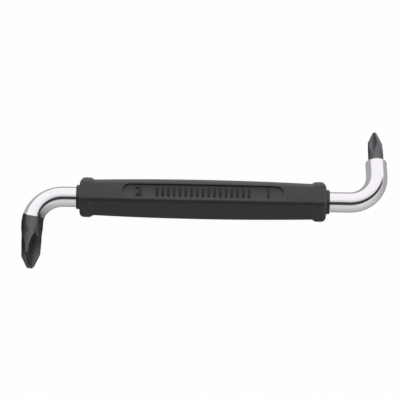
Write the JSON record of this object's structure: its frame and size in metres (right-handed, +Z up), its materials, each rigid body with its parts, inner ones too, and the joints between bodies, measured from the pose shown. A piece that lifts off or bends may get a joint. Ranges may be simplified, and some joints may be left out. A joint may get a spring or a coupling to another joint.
{
  "type": "offset screwdriver",
  "caption": "Offset screwdriver: a hexagonal bright steel bar bent into a Z, with a black cross tip on each leg and a crowned six-sided moulded plastic grip in the middle.",
  "frame": {"origin": "middle of the tool's bounding box in plan, at the height of the surface that the grip rests on", "axes": "+X along the bar towards the small tip's leg, -Y along the large tip's leg, +Z up, square to the plane of the two legs"},
  "size_m": [0.115, 0.0492, 0.012],
  "materials": {
    "bright_steel": "polished nickel-chromium plate",
    "black_finished_steel": "satin black finish over ground steel",
    "grip_plastic": "fine-grained moulding"
  },
  "bodies": {
    "root": {"bent_bar": "bright_steel", "large_cross_tip": "black_finished_steel", "small_cross_tip": "black_finished_steel", "grip": "grip_plastic"}
  },
  "joints": []
}
